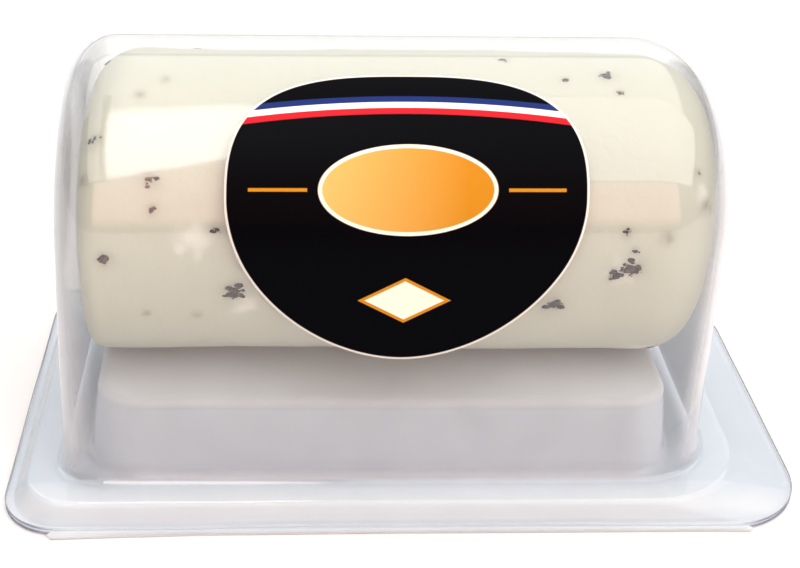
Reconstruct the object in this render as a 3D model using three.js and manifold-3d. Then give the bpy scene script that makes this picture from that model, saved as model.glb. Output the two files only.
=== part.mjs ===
// A soft white goat cheese log, flecked with truffle, in its shut clear pack.
// The pack is two thermoformed sheets. The tray has a raised bed that carries the log,
// and the lid has a hood that arches over it. Their flanges lie on each other all round.
// An egg-shaped label is stuck on the front of the hood.
// Millimetres, +Z up, X along the log, -Y the labelled front. The origin is the middle
// of the footprint, on the surface that the pack stands on.

import * as THREE from 'three';
import { mergeVertices } from 'three/addons/utils/BufferGeometryUtils.js';
import Module from 'manifold-3d';

const wasm = await Module();
wasm.setup();

// Sheet thickness, and the room between pieces that touch
const SHEET = 0.6;
const GAP = 0.3;

// Flange of both sheets: a ledge round the foot, a crease, a skirt that slopes down and a flat rim
const RIM = { left: -57.1, right: 57.1, front: -31, back: 32, cornerLeft: 8, cornerRight: 12 };
const CREASE = { left: -54.4, right: 48.6, front: -28, back: 28, cornerLeft: 7.5, cornerRight: 14 };
const RIM_FLAT = 1.2;
const LEDGE_HEIGHT = 1.8;

// Folded strip that the tray's rim keeps along the front, as its outline seen from above.
// It stands out most at its left end.
const STRIP = [
  [-50.5, -30.4], [-50.3, -32], [-43, -31.7], [-29, -31.3], [-2, -31.2], [40, -31.3],
  [48.3, -31.5], [48.5, -30.4],
];

// Hood of the lid: a round vault on upright walls that lean in a little. The corners of
// its right end are wider than those of its left end.
const HOOD_X = -2.8;
const HOOD_HALF_LENGTH = 47;
const HOOD_RADIUS = 22.9;
const HOOD_AXIS_Z = 37.1;
const HOOD_DRAFT = { end: 0.034, side: 0.02 };
const HOOD_CORNER = { left: { side: 6.5, top: 6.2 }, right: { side: 12, top: 12 } };
const HOOD_FOOT_FILLET = 1.2;
const HOOD_RISE = 0.0003;

// Bed of the tray
const BED_TOP = 14.4;
const BED = { left: -44.8, right: 37.5, front: -20, back: 20, cornerLeft: 6.5, cornerRight: 6.5 };
const BED_DRAFT = 0.13;
const BED_EDGE = 1.4;
const BED_FILLET = 1.5;

// Cheese log, a little thicker towards its right end. The rounding of each end changes
// from the underside over the side to the top, as the log was pressed into the hood.
const LOG = { left: -45.4, right: 41.2, radius: 21.45, widening: 0.006, dish: 0.5 };
const LOG_ROUND = {
  left: { bottom: 1.5, side: 3, top: 8 },
  right: { bottom: 6, side: 10.4, top: 10 },
};
const LOG_WAVER = { height: 0.12, turnPerMm: 0.13, start: 1 };
const LOG_FLAT = 0.12;
const LOG_SIDES = 56;

// Label, on the hood's surface: its middle line, and its widest line down from the ridge
const LABEL = { middleX: -2.6, widestDown: 26, halfWidth: 23.55, above: 17.75, below: 23.15 };
const LABEL_THICKNESS = 0.3;
const LABEL_ROUNDNESS = { above: 2.7, below: 1.87 };
const LABEL_SPOKES = 56;
const LABEL_RINGS = 7;

// Truffle flecks that show on the front: along the log, turn above the front line, size.
// The others are spread over the back and the underside by a fixed rule.
const SHOWN_FLECKS = [
  [-42.8, 48, 2.0], [-44.3, 33, 1.5], [-35.6, 33, 2.3], [-35.3, 23, 1.5], [-27.3, 16, 1.6],
  [-41.6, 5, 2.0], [-25.0, -9, 3.2], [-36.6, -19, 1.0], [-30.0, -20, 1.0], [-34.3, 74, 1.3],
  [-37.4, 66, 1.3], [25.4, 80, 2.2], [26.6, 70, 1.1], [19.4, 77, 1.2], [11.6, 91, 1.4],
  [36.4, 38, 1.0], [26.6, 16, 1.3], [32.2, 14, 1.6], [27.9, 9, 1.0], [25.7, 0, 2.2],
  [28.0, 3, 3.0], [17.8, -13, 3.2], [34.5, -52, 2.0], [38.2, 25, 2.2],
];
const HIDDEN_FLECKS = { count: 34, from: 105, sweep: 145, least: 1.4, most: 3.2 };
const SPREAD = { turn: 0.618034, size: 0.7549 };
const FLECK_PROUD = 0.25;
const FLECK_SUNK = 0.08;
const FLECK_SEED = 7;

const CORNER_STEPS = 7;
const VAULT_STEPS = 18;
const DEGREE = Math.PI / 180;

// Repeatable random numbers between 0 and 1
function seededRandom(seed) {
  let state = seed >>> 0;
  return () => {
    state = (Math.imul(state, 1664525) + 1013904223) >>> 0;
    return state / 2 ** 32;
  };
}

// A level rounded outline, front right corner first, counterclockwise seen from above.
// Every outline has the same number of points, so that any two can be joined.
function outline({ left, right, front, back, cornerLeft, cornerRight }, z) {
  const corners = [
    [right - cornerRight, front + cornerRight, cornerRight, -90],
    [right - cornerRight, back - cornerRight, cornerRight, 0],
    [left + cornerLeft, back - cornerLeft, cornerLeft, 90],
    [left + cornerLeft, front + cornerLeft, cornerLeft, 180],
  ];
  const points = [];
  for (const [x, y, radius, start] of corners) {
    for (let step = 0; step <= CORNER_STEPS; step++) {
      const turn = (start + (90 * step) / CORNER_STEPS) * DEGREE;
      points.push(new THREE.Vector3(x + radius * Math.cos(turn), y + radius * Math.sin(turn), z));
    }
  }
  return points;
}

// An outline moved outwards on all sides
function grown(box, by) {
  return {
    left: box.left - by, right: box.right + by, front: box.front - by, back: box.back + by,
    cornerLeft: Math.max(box.cornerLeft + by, 0.5), cornerRight: Math.max(box.cornerRight + by, 0.5),
  };
}

// Joins outlines one after the other into one closed body. Each end is either drawn
// together into its middle point or, where its two long sides coincide, left as it is.
function loft(loops, { closeStart, closeEnd }) {
  const count = loops[0].length;
  const points = loops.flat();
  const faces = [];
  const quad = (a, b, c, d) => faces.push(a, b, c, a, c, d);
  for (let row = 0; row + 1 < loops.length; row++) {
    for (let i = 0; i < count; i++) {
      const next = (i + 1) % count;
      quad(row * count + i, (row + 1) * count + i, (row + 1) * count + next, row * count + next);
    }
  }
  const fan = (row, flip) => {
    const middle = loops[row].reduce((sum, p) => sum.add(p), new THREE.Vector3()).divideScalar(count);
    const tip = points.push(middle) - 1;
    for (let i = 0; i < count; i++) {
      const a = row * count + i;
      const b = row * count + ((i + 1) % count);
      faces.push(...(flip ? [tip, b, a] : [tip, a, b]));
    }
  };
  if (closeStart) fan(0, false);
  if (closeEnd) fan(loops.length - 1, true);
  return tidied(points, faces);
}

// An indexed geometry with coinciding points merged and collapsed faces dropped
function tidied(points, faces) {
  const raw = new THREE.BufferGeometry();
  raw.setAttribute('position', new THREE.Float32BufferAttribute(points.flatMap((p) => p.toArray()), 3));
  raw.setIndex(faces);
  const merged = mergeVertices(raw, 1e-4);
  const index = merged.getIndex().array;
  const kept = [];
  for (let i = 0; i < index.length; i += 3) {
    const [a, b, c] = [index[i], index[i + 1], index[i + 2]];
    if (a !== b && b !== c && c !== a) kept.push(a, b, c);
  }
  merged.setIndex(kept);
  return merged;
}

// Hands a closed geometry to the solid library, and takes one back
function toSolid(geometry) {
  const bare = new THREE.BufferGeometry();
  bare.setAttribute('position', geometry.getAttribute('position').clone());
  if (geometry.getIndex()) bare.setIndex(geometry.getIndex().clone());
  const merged = mergeVertices(bare, 1e-4);
  return new wasm.Manifold(new wasm.Mesh({
    numProp: 3,
    vertProperties: new Float32Array(merged.getAttribute('position').array),
    triVerts: new Uint32Array(merged.getIndex().array),
  }));
}

function fromSolid(solid) {
  const mesh = solid.getMesh();
  const geometry = new THREE.BufferGeometry();
  geometry.setAttribute('position', new THREE.Float32BufferAttribute(mesh.vertProperties, 3));
  geometry.setIndex(Array.from(mesh.triVerts));
  return geometry;
}

// Heights of the flange, as the top of a sheet's ledge and of its rim
const TRAY_RIM_TOP = SHEET;
const TRAY_LEDGE_TOP = TRAY_RIM_TOP + LEDGE_HEIGHT;
const LID_RIM_TOP = TRAY_RIM_TOP + GAP + SHEET;
const LID_LEDGE_TOP = LID_RIM_TOP + LEDGE_HEIGHT;

// The flange from the crease outwards, as outlines on the upper face or, lowered by a
// sheet, on the underside
function flangeLoops(rimTop, lowered) {
  return [
    outline(CREASE, rimTop + LEDGE_HEIGHT - lowered),
    outline(grown(RIM, -RIM_FLAT), rimTop - lowered),
    outline(RIM, rimTop - lowered),
  ];
}

// The hood stands a little higher towards its right end, where the log is thicker
function risen(point) {
  const above = point.z - LID_LEDGE_TOP;
  point.z += Math.max(above, 0) * HOOD_RISE * (point.x - HOOD_X);
  return point;
}

// One outline of the hood. It runs along both sides at half depth and height (side, z),
// and round both ends. Each end corner is a quarter round whose inward step follows the
// side's outward direction (outY, outZ). Inset moves all faces inwards.
function hoodLoop(side, z, outY, outZ, inset) {
  const quarter = (radii, signX, signY) => {
    const corner = radii.side + (radii.top - radii.side) * outZ ** 2 - inset;
    return Array.from({ length: CORNER_STEPS + 1 }, (_, step) => {
      const turn = (90 * step * DEGREE) / CORNER_STEPS;
      const inward = inset + corner * (1 - Math.cos(turn));
      const height = z - outZ * inward;
      const end = HOOD_HALF_LENGTH - inset - HOOD_DRAFT.end * Math.max(height - LID_LEDGE_TOP, 0);
      const x = HOOD_X + signX * (end - corner * (1 - Math.sin(turn)));
      return risen(new THREE.Vector3(x, signY * (side - outY * inward), height));
    });
  };
  const { left, right } = HOOD_CORNER;
  return [
    ...quarter(right, 1, -1), ...quarter(right, 1, 1).reverse(),
    ...quarter(left, -1, 1), ...quarter(left, -1, -1).reverse(),
  ];
}

// The hood from its ridge down to its foot, and round the foot fillet on to the ledge
function hoodLoops(inset) {
  const loops = [];
  for (let step = 0; step <= VAULT_STEPS; step++) {
    const turn = (90 * step * DEGREE) / VAULT_STEPS;
    const [outY, outZ] = [Math.sin(turn), Math.cos(turn)];
    loops.push(hoodLoop(HOOD_RADIUS * outY, HOOD_AXIS_Z + HOOD_RADIUS * outZ, outY, outZ, inset));
  }
  const wallFoot = LID_LEDGE_TOP + HOOD_FOOT_FILLET;
  const sideAt = (z) => HOOD_RADIUS + HOOD_DRAFT.side * (HOOD_AXIS_Z - z);
  for (const z of [(HOOD_AXIS_Z + wallFoot) / 2, wallFoot]) {
    loops.push(hoodLoop(sideAt(z), z, 1, 0, inset));
  }
  const filletSteps = 3;
  for (let step = 1; step <= filletSteps; step++) {
    const turn = (90 * step * DEGREE) / filletSteps;
    const spread = HOOD_FOOT_FILLET - (HOOD_FOOT_FILLET + inset) * Math.cos(turn);
    const z = wallFoot - (HOOD_FOOT_FILLET + inset) * Math.sin(turn);
    loops.push(hoodLoop(sideAt(wallFoot), z, 1, 0, -spread));
  }
  return loops;
}

function lidGeometry() {
  const outside = [...hoodLoops(0), ...flangeLoops(LID_RIM_TOP, 0)];
  const inside = [...hoodLoops(SHEET), ...flangeLoops(LID_RIM_TOP, SHEET)];
  return loft([...outside, ...inside.reverse()], { closeStart: false, closeEnd: false });
}

// The tray's bed from its flat top out over the rounded edge, down the wall and round
// the fillet on to the ledge. Lowered is the sheet thickness on the underside.
function bedLoops(lowered) {
  const loops = [];
  const edgeSteps = 4;
  const edge = BED_EDGE - lowered;
  for (let step = 0; step <= edgeSteps; step++) {
    const turn = (90 * step * DEGREE) / edgeSteps;
    const out = edge * Math.sin(turn) - BED_EDGE;
    loops.push(outline(grown(BED, out), BED_TOP - BED_EDGE + edge * Math.cos(turn)));
  }
  const wallHeight = BED_TOP - BED_EDGE - TRAY_LEDGE_TOP - BED_FILLET;
  const foot = BED_DRAFT * wallHeight;
  const filletSteps = 3;
  for (let step = 0; step <= filletSteps; step++) {
    const turn = (90 * step * DEGREE) / filletSteps;
    const radius = BED_FILLET + lowered;
    const out = foot + BED_FILLET - radius * Math.cos(turn);
    loops.push(outline(grown(BED, out), TRAY_LEDGE_TOP + BED_FILLET - radius * Math.sin(turn)));
  }
  return loops;
}

function trayGeometry() {
  const upper = [...bedLoops(0), ...flangeLoops(TRAY_RIM_TOP, 0)];
  const under = [...bedLoops(SHEET), ...flangeLoops(TRAY_RIM_TOP, SHEET)];
  const sheet = loft([...upper, ...under.reverse()], { closeStart: true, closeEnd: true });
  return fromSolid(toSolid(sheet).add(toSolid(stripGeometry())));
}

function stripGeometry() {
  const shape = new THREE.Shape(STRIP.map(([x, y]) => new THREE.Vector2(x, y)));
  return new THREE.ExtrudeGeometry(shape, { depth: SHEET, bevelEnabled: false });
}

// A point on the outside of the hood's front, down from the ridge line and lifted off it
function onHood(x, down, lift) {
  const quarter = (HOOD_RADIUS * Math.PI) / 2;
  const turn = Math.min(down, quarter) / HOOD_RADIUS;
  const below = Math.max(down - quarter, 0);
  const reach = HOOD_RADIUS + lift;
  const y = -(reach * Math.sin(turn) + HOOD_DRAFT.side * below);
  return risen(new THREE.Vector3(x, y, HOOD_AXIS_Z + reach * Math.cos(turn) - below));
}

// The egg outline is two half superellipses, the upper one lower and squarer. Rings of it,
// from the middle outwards, are laid on the hood as a thin skin with two faces.
function labelGeometry() {
  const ring = (share, lift) => {
    const points = [];
    for (let i = 0; i < LABEL_SPOKES; i++) {
      const turn = (360 * i * DEGREE) / LABEL_SPOKES;
      const half = Math.sin(turn) > 0 ? 'above' : 'below';
      const power = 2 / LABEL_ROUNDNESS[half];
      const across = Math.sign(Math.cos(turn)) * Math.abs(Math.cos(turn)) ** power;
      const up = Math.sign(Math.sin(turn)) * Math.abs(Math.sin(turn)) ** power;
      const x = LABEL.middleX + share * LABEL.halfWidth * across;
      points.push(onHood(x, LABEL.widestDown - share * LABEL[half] * up, lift));
    }
    return points;
  };
  const shares = Array.from({ length: LABEL_RINGS }, (_, i) => (i + 1) / LABEL_RINGS);
  const outer = shares.map((share) => ring(share, GAP + LABEL_THICKNESS));
  const inner = shares.map((share) => ring(share, GAP)).reverse();
  return loft([...outer, ...inner], { closeStart: true, closeEnd: true });
}

// How far a rounded end draws the log's surface in, at a distance from that end
function drawnIn({ bottom, side, top }, fromEnd, up) {
  const round = side + ((up > 0 ? top : bottom) - side) * up ** 2;
  const short = round - Math.min(Math.max(fromEnd, 0), round);
  return round - Math.sqrt(round ** 2 - short ** 2);
}

// A point on the log, turned up from its front line. The log wavers softly along its
// length, and it lies on the bed, slightly flattened.
function onLog(x, turn, lift = 0) {
  const up = Math.sin(turn);
  const even = LOG.radius + LOG.widening * (x - HOOD_X);
  const waver = LOG_WAVER.height * Math.sin(LOG_WAVER.turnPerMm * x + LOG_WAVER.start);
  const ends = drawnIn(LOG_ROUND.left, x - LOG.left, up) + drawnIn(LOG_ROUND.right, LOG.right - x, up);
  const reach = even + waver - ends + lift;
  const z = Math.max(BED_TOP + GAP + even + reach * up, BED_TOP + GAP + LOG_FLAT);
  return new THREE.Vector3(x, -reach * Math.cos(turn), z);
}

function logBody() {
  const { left, right, dish } = LOG;
  const [leftRound, rightRound] = [LOG_ROUND.left.top, LOG_ROUND.right.side];
  const roundSteps = 5;
  const middleSteps = 8;
  const places = [];
  for (let i = 0; i <= roundSteps; i++) {
    places.push(left + leftRound * (1 - Math.cos((90 * i * DEGREE) / roundSteps)));
  }
  const span = right - rightRound - left - leftRound;
  for (let i = 1; i < middleSteps; i++) places.push(left + leftRound + (span * i) / middleSteps);
  for (let i = roundSteps; i >= 0; i--) {
    places.push(right - rightRound * (1 - Math.cos((90 * i * DEGREE) / roundSteps)));
  }
  const turns = Array.from({ length: LOG_SIDES }, (_, i) => (2 * Math.PI * i) / LOG_SIDES);
  const loops = places.map((x) => turns.map((turn) => onLog(x, turn)));
  const dished = (loop, inward) => {
    const middle = loop.reduce((sum, p) => sum.add(p), new THREE.Vector3()).divideScalar(LOG_SIDES);
    return loop.map((p) => p.clone().lerp(middle, 0.5).add(new THREE.Vector3(inward, 0, 0)));
  };
  const first = dished(loops[0], dish);
  const last = dished(loops[loops.length - 1], -dish);
  return toSolid(loft([first, ...loops, last], { closeStart: true, closeEnd: true }));
}

// One fleck: a low uneven lump, half sunk in the log's surface
function fleck(x, degrees, size, random) {
  const geometry = new THREE.IcosahedronGeometry(size / 2, size > 2 ? 1 : 0);
  const merged = mergeVertices(geometry.deleteAttribute('normal').deleteAttribute('uv'), 1e-4);
  const position = merged.getAttribute('position');
  for (let i = 0; i < position.count; i++) {
    const wobble = 0.8 + 0.4 * random();
    position.setXYZ(i, position.getX(i) * wobble, position.getY(i) * wobble, position.getZ(i) * wobble);
  }
  const turn = degrees * DEGREE;
  const across = 0.6 + 0.4 * random();
  merged.applyMatrix4(new THREE.Matrix4().makeScale(1, (2 * FLECK_PROUD) / size, across));
  merged.applyMatrix4(new THREE.Matrix4().makeRotationX(-turn));
  const seat = onLog(x, turn, -FLECK_SUNK);
  merged.applyMatrix4(new THREE.Matrix4().makeTranslation(seat.x, seat.y, seat.z));
  return toSolid(merged);
}

// Places and sizes of the flecks that the photographed side does not show
function hiddenFlecks() {
  const { count, from, sweep, least, most } = HIDDEN_FLECKS;
  const span = LOG.right - LOG.left;
  return Array.from({ length: count }, (_, i) => [
    LOG.left + (span * (i + 1)) / (count + 1),
    from + sweep * ((i * SPREAD.turn) % 1),
    least + (most - least) * ((i * SPREAD.size) % 1) ** 2,
  ]);
}

function cheeseGeometry() {
  const random = seededRandom(FLECK_SEED);
  const flecks = [...SHOWN_FLECKS, ...hiddenFlecks()];
  const lumps = flecks.map(([x, degrees, size]) => fleck(x, degrees, size, random));
  return fromSolid(lumps.reduce((body, lump) => body.add(lump), logBody()));
}

function piece(name, geometry, color, roughness, extra = {}) {
  const material = new THREE.MeshStandardMaterial({ color, roughness, metalness: 0, ...extra });
  const mesh = new THREE.Mesh(geometry, material);
  mesh.name = name;
  return mesh;
}

const clear = { transparent: true, opacity: 0.35 };
const pack = new THREE.Group();
pack.add(piece('tray', trayGeometry(), '#d9dade', 0.35, clear));
pack.add(piece('cheese_log', cheeseGeometry(), '#f1e9da', 0.6));
pack.add(piece('lid', lidGeometry(), '#e6e7ea', 0.2, clear));
pack.add(piece('label', labelGeometry(), '#07070b', 0.3));

export default pack;
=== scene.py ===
"""A soft goat cheese log in its shut clear pack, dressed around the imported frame.

The pack is two thermoformed sheets, a tray and a lid. They enclose a cheese log flecked
with truffle, and a printed label is stuck on the front of the hood. Shapes are worked out
in millimetres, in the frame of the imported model, and stored in metres.
"""

import logging
import math
from dataclasses import dataclass
from enum import Enum

import bmesh
import bpy
import numpy as np
from mathutils import Matrix, Vector


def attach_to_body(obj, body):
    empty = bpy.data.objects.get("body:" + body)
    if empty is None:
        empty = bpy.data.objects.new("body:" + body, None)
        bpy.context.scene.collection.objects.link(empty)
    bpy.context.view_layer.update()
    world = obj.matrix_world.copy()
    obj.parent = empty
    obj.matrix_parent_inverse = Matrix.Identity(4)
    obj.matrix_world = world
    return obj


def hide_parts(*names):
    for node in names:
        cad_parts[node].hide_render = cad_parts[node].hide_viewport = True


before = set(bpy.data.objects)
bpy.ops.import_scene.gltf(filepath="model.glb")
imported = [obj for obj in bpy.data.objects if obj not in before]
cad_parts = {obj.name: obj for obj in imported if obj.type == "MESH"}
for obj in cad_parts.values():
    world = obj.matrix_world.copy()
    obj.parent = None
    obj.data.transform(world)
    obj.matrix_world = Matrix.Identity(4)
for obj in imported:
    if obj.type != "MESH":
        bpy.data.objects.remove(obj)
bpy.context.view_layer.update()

MM = 0.001
QUARTER = np.pi / 2
MERGE_WITHIN = 0.0005 * MM
LEAST_CORNER = 0.02
# Whole multiples of each of these, less their whole part, spread evenly over 0 to 1.
GOLDEN_SHARE = 0.618034
SECOND_SHARE = 0.7549
log = logging.getLogger("cheese_pack")


class Face(Enum):
    """The two faces of a plastic sheet."""

    UPPER = 0
    UNDER = 1


class Hue(Enum):
    """The surface colours, as sRGB hex values."""

    PASTE = "#bcbfb0"
    PASTE_WARM = "#b7b8a8"
    PASTE_STAIN = "#7d766a"
    CURD = "#dcdcd2"
    TRUFFLE = "#1c130c"
    TRUFFLE_BROWN = "#6b4526"
    TRUFFLE_BLACK = "#040302"
    HAZE = "#d3d7dd"
    # Lid hue under the mark of wear and painted light: partly painted light on the front flange.
    HAZE_WEAR_AND_LIGHT = "#cdcfd2"
    TRAY_HAZE = "#c0cddb"
    # Tray hue under the mark of wear and painted light: a brighter painted light on the bed's top and the
    # front flange.
    TRAY_WEAR_AND_LIGHT = "#d9dee3"
    # A grey-blue painted shade, standing for the dark reflections along the sheets' cut edges.
    CUT_EDGE_SHADE = "#6d7389"
    INK_BLACK = "#010104"
    INK_BORDER = "#e9e4dc"
    INK_BLUE = "#1f2f6b"
    INK_WHITE = "#f4f2ee"
    INK_RED = "#c4222c"
    INK_GOLD = "#c4811f"
    INK_GOLD_PALE = "#dfb064"
    INK_CREAM = "#f3ead6"
    FLOOR = "#e0e0e0"
    LIGHT_WHITE = "#fffdfa"
    LIGHT_WARM = "#ffcdbc"


Tree = bpy.types.NodeTree
Socket = bpy.types.NodeSocket
Feed = Socket | Hue | float | tuple


def linear(hue: Hue) -> tuple[float, float, float, float]:
    """Turns a colour from sRGB to linear light, by the standard sRGB curve.

    Args:
        hue: the colour.

    Returns:
        Red, green, blue and an alpha of 1, as a shader socket takes them.
    """
    parts = [int(hue.value[at:at + 2], 16) / 255 for at in (1, 3, 5)]
    return (*(p / 12.92 if p <= 0.04045 else ((p + 0.055) / 1.055) ** 2.4 for p in parts), 1.0)


def add_node(tree: Tree, kind: str, *feeds: Feed, named: dict[int | str, Feed] | None = None,
             output: int | str = 0, **settings: str | bool) -> Socket | None:
    """Adds one shader node with its settings and links.

    Args:
        tree: the node tree.
        kind: the node's type name, less its start ShaderNode.
        feeds: for each input in order, a value, a colour or the socket that feeds it.
        named: the same for other inputs, by name or number.
        output: name or number of the wanted output.
        settings: the node's own options.

    Returns:
        The wanted output's socket, or None for a node without outputs.
    """
    made = tree.nodes.new(f"ShaderNode{kind}")
    for name, value in settings.items():
        setattr(made, name, value)
    for key, value in [*enumerate(feeds), *(named or {}).items()]:
        if isinstance(value, Socket):
            tree.links.new(value, made.inputs[key])
        else:
            made.inputs[key].default_value = linear(value) if isinstance(value, Hue) else value
    return made.outputs[output] if made.outputs else None


def scaled(tree: Tree, value: Socket, by: Socket, gain: float, start: float = 1.0,
           clamp: bool = False) -> Socket:
    """Multiplies one value by a straight line of another: value x (start + gain x by).

    Args:
        tree: the node tree.
        value: what is multiplied.
        by: what the factor depends on.
        gain: slope of the factor.
        start: the factor where by is 0.
        clamp: whether the result is kept between 0 and 1.

    Returns:
        Socket of the product.
    """
    factor = add_node(tree, "Math", by, gain, start, operation="MULTIPLY_ADD")
    return add_node(tree, "Math", value, factor, operation="MULTIPLY", use_clamp=clamp)


def layered(tree: Tree, base: Feed, *layers: tuple[Feed, Feed]) -> Feed:
    """Lays colours on a base in turn: what is below x (1 - share) + colour x share.

    A Mix node for colours takes them at its inputs 6 and 7, and gives theirs at output 2.

    Args:
        tree: the node tree.
        base: the lowest colour.
        layers: pairs of a share, 0 to 1, and the colour laid on by that share.

    Returns:
        The resulting colour.
    """
    for share, colour in layers:
        base = add_node(tree, "Mix", share, named={6: base, 7: colour}, output=2, data_type="RGBA")
    return base


def new_material(name: str) -> tuple[bpy.types.Material, Tree]:
    """Starts a material with an empty tree.

    Args:
        name: the material's name.

    Returns:
        The material and its node tree.
    """
    material = bpy.data.materials.new(name)
    material.use_nodes = True
    material.node_tree.nodes.clear()
    return material, material.node_tree


@dataclass(frozen=True)
class ThermoformedSheet:
    """Thermoformed APET: a glossy drawn sheet that scatters a little, most where seen edge on.

    To the eye it is clear face on, milky at grazing angles and where it is drawn most, and duller where
    its gloss wears. A grey-blue painted shade lies along its cut edge. Where the mark of wear and painted
    light is full, on the front flange and the tray's bed top, its own hue and thicker haze are partly
    painted light that lifts the shade of the log. What passes straight through is the clear share face on,
    to the power of the haze's unevenness over the cosine of the angle of view to the slant_power.
    """

    name: str
    hue: Hue
    wear_and_light_hue: Hue
    haze: float
    roughness: float = 0.07
    worn_roughness: float = 0.5
    body_roughness: float = 0.6
    # The cut edge gets a grey-blue painted shade, and a share of it that makes the edge near opaque.
    edge_shade_hue: Hue = Hue.CUT_EDGE_SHADE
    edge_shade_cover: float = 0.8
    ior: float = 1.57
    slant_power: float = 1.3
    least_cosine: float = 0.12
    cloud_size: float = 9.0
    cloud_share: float = 0.25
    wear_and_light_haze: float = 0.5
    drawn_haze: float = 6.5
    inner_loss: float = 0.8
    worn_loss: float = 0.7
    grazing_power: float = 5.0

    def haziness(self, tree: Tree, facing: Socket, wear_and_light: Socket) -> Socket:
        """Works out the share of light that the sheet scatters, by the class's formula.

        Args:
            tree: the node tree.
            facing: 1 less the cosine of the angle of view.
            wear_and_light: the mark of wear and painted light, 0 to 1.

        Returns:
            Socket of the share, with a haze that varies over cloud_size millimetres.
        """
        place = add_node(tree, "TexCoord", output="Object")
        cloud = add_node(tree, "TexNoise", named={
            "Vector": place, "Scale": 1 / (self.cloud_size * MM), "Detail": 1.0,
        })
        drawn = add_node(tree, "Attribute", output="Fac", attribute_name="drawn")
        uneven = add_node(tree, "Math", cloud, 2 * self.cloud_share, 1 - self.cloud_share,
                          operation="MULTIPLY_ADD")
        # Thicker haze under the mark of wear and painted light: partly painted light on the front flange
        # and the tray's bed top.
        uneven = scaled(tree, uneven, wear_and_light, self.wear_and_light_haze)
        uneven = scaled(tree, uneven, drawn, self.drawn_haze)
        cosine = add_node(tree, "Math", 1.0, facing, operation="SUBTRACT")
        cosine = add_node(tree, "Math", cosine, self.least_cosine, operation="MAXIMUM")
        slant = add_node(tree, "Math", cosine, self.slant_power, operation="POWER")
        depth = add_node(tree, "Math", uneven, slant, operation="DIVIDE")
        clear = add_node(tree, "Math", 1 - self.haze, depth, operation="POWER")
        return add_node(tree, "Math", 1.0, clear, operation="SUBTRACT", use_clamp=True)

    def mirroring(self, tree: Tree, facing: Socket, wear_and_light: Socket) -> Socket:
        """Works out the mirrored share: head on + (1 - head on) x facing^grazing_power.

        Args:
            tree: the node tree.
            facing: 1 less the cosine of the angle of view.
            wear_and_light: the mark of wear and painted light, 0 to 1.

        Returns:
            Socket of the share, less on the sheet's inner faces and under the mark of wear and painted
            light.
        """
        head_on = ((self.ior - 1) / (self.ior + 1)) ** 2
        grazing = add_node(tree, "Math", facing, self.grazing_power, operation="POWER")
        share = add_node(tree, "Math", grazing, 1 - head_on, head_on, operation="MULTIPLY_ADD")
        inside = add_node(tree, "NewGeometry", output="Backfacing")
        share = scaled(tree, share, inside, -self.inner_loss)
        return scaled(tree, share, wear_and_light, -self.worn_loss)

    def build(self) -> bpy.types.Material:
        """Makes the material: haze over what lies behind, and a gloss over both.

        Returns:
            The material, which reads the attributes worn, drawn and cut_edge_shade.
        """
        material, tree = new_material(self.name)
        wear_and_light, cut = (add_node(tree, "Attribute", output="Fac", attribute_name=key)
                     for key in ("wear_and_light", "cut_edge_shade"))
        facing = add_node(tree, "LayerWeight", 0.5, output="Facing")
        # The cut edge's painted shade: near opaque, in a grey-blue hue.
        covered = add_node(tree, "Math", cut, self.edge_shade_cover, operation="MULTIPLY")
        scatter = add_node(tree, "Math", self.haziness(tree, facing, wear_and_light), covered,
                           operation="MAXIMUM")
        body = add_node(tree, "BsdfPrincipled", named={
            # The mark's own hue, partly painted light on the front flange and the tray's bed top, then the
            # cut edge's grey-blue painted shade.
            "Base Color": layered(tree, self.hue, (wear_and_light, self.wear_and_light_hue), (cut, self.edge_shade_hue)),
            "Roughness": self.body_roughness, "IOR": self.ior, "Specular IOR Level": 0.0,
        })
        hazy = add_node(tree, "MixShader", scatter, add_node(tree, "BsdfTransparent"), body)
        rough = add_node(tree, "Math", wear_and_light, self.worn_roughness - self.roughness, self.roughness,
                         operation="MULTIPLY_ADD")
        mirror = add_node(tree, "BsdfAnisotropic", named={"Color": (1, 1, 1, 1), "Roughness": rough})
        glossy = add_node(tree, "MixShader", self.mirroring(tree, facing, wear_and_light), hazy, mirror)
        add_node(tree, "OutputMaterial", glossy)
        return material


@dataclass(frozen=True)
class CheesePaste:
    """Fresh lactic goat curd, pressed into a log: matt and moist, light sinks in a few millimetres.

    To the eye it is soft-edged in shade. Its tone drifts from white to warm cream, with grey
    bleeding from the truffle in grainy patches.
    """

    name: str = "fresh goat curd paste"
    roughness: float = 0.5
    ior: float = 1.45
    drift_size: float = 16.0
    grain_size: float = 1.1
    grain_depth: float = 0.2
    grain_strength: float = 0.25
    mottle_gain: float = 1.6
    mottle_start: float = -0.1
    light_share: float = 0.3
    light_reach: float = 2.5
    light_radius: tuple = (1.0, 0.75, 0.5)

    def build(self) -> bpy.types.Material:
        """Makes the material.

        Returns:
            The material, which reads the attributes stain and smear.
        """
        material, tree = new_material(self.name)
        place = add_node(tree, "TexCoord", output="Object")
        drift, grain = (
            add_node(tree, "TexNoise", named={"Vector": place, "Scale": 1 / (size * MM), "Detail": detail})
            for size, detail in ((self.drift_size, 3.0), (self.grain_size, 4.0))
        )
        smear, stain = (add_node(tree, "Attribute", output="Fac", attribute_name=key)
                        for key in ("smear", "stain"))
        mottled = scaled(tree, stain, grain, self.mottle_gain, self.mottle_start, clamp=True)
        tone = layered(tree, Hue.PASTE, (drift, Hue.PASTE_WARM), (smear, Hue.CURD),
                       (mottled, Hue.PASTE_STAIN))
        bump = add_node(tree, "Bump", named={
            "Height": grain, "Strength": self.grain_strength, "Distance": self.grain_depth * MM,
        })
        body = add_node(tree, "BsdfPrincipled", named={
            "Base Color": tone, "Roughness": self.roughness, "IOR": self.ior,
            "Subsurface Weight": self.light_share, "Subsurface Radius": self.light_radius,
            "Subsurface Scale": self.light_reach * MM, "Normal": bump,
        })
        add_node(tree, "OutputMaterial", body)
        return material


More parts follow.
